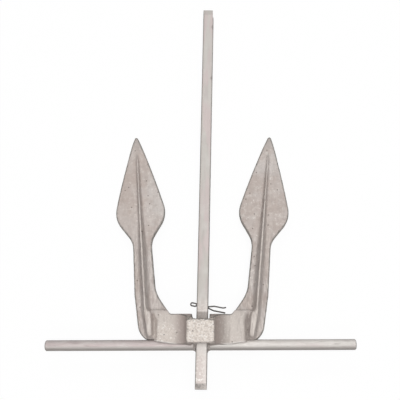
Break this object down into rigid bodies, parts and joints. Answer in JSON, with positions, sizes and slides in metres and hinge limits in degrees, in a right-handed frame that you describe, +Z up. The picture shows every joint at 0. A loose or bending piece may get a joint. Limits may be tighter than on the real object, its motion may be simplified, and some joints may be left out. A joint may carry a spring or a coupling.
{
  "type": "boat anchor",
  "caption": "Galvanised boat anchor with a long square shank, a crosswise round stock and a one-piece tilting casting that carries two ribbed spade flukes.",
  "frame": {"origin": "on the ground under the middle of the anchor's box, as the anchor lies flat", "axes": "+X along the stock to its right end, +Y along the shank from its foot to its shackle end, +Z up"},
  "size_m": [0.48, 0.6544, 0.0835],
  "materials": {
    "galvanised_bar": "hot-dip galvanised, dull, pinkish grey",
    "galvanised_rod": "hot-dip galvanised, dull, pinkish grey",
    "galvanised_weld": "hot-dip galvanised over a weld bead",
    "pin_steel": "bright drawn steel",
    "galvanised_casting": "hot-dip galvanised casting, slightly rough"
  },
  "bodies": {
    "welded_cross": {"shank": "galvanised_bar", "stock_left": "galvanised_rod", "stock_right": "galvanised_rod", "weld_left": "galvanised_weld", "weld_right": "galvanised_weld", "split_pin": "pin_steel"},
    "flukes": {"fluke_casting": "galvanised_casting"}
  },
  "joints": [
    {"name": "fluke_tilt", "type": "hinge", "parent": "welded_cross", "child": "flukes", "pos_m": [0.003, -0.2602, 0.04423], "axis": [1, 0, 0], "range_deg": [-26.99, 33.01]}
  ]
}
